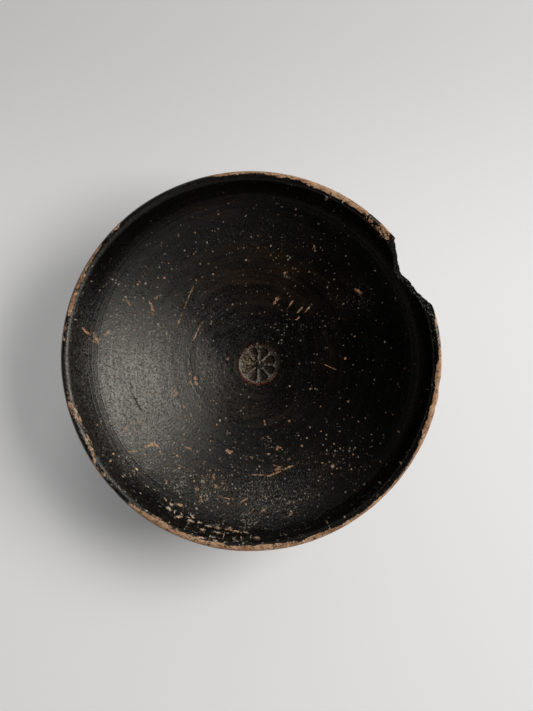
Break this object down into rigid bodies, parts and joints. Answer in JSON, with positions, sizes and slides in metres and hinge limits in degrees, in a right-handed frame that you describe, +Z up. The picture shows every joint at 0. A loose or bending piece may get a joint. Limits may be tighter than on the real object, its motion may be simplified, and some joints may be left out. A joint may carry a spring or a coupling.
{
  "type": "black-gloss kylix cup",
  "caption": "Shallow wheel-thrown black-gloss pottery cup on a ring foot, with an offset lip, a stamped rosette on the floor, a worn rim and a broken notch in the lip.",
  "frame": {"origin": "centre of the underside of the ring foot, on the cup's axis and on the surface that the cup stands on", "axes": "+Z up along the cup's turning axis; seen from above with +Y up the page, the break in the lip is to the upper right, 31 degrees from +X towards +Y"},
  "size_m": [0.15, 0.15, 0.052],
  "materials": {
    "black_gloss": "satin black slip gloss on orange clay, worn to the clay along the rim, with specks, scratches and pale deposit"
  },
  "bodies": {
    "root": {"kylix_cup": "black_gloss"}
  },
  "joints": []
}
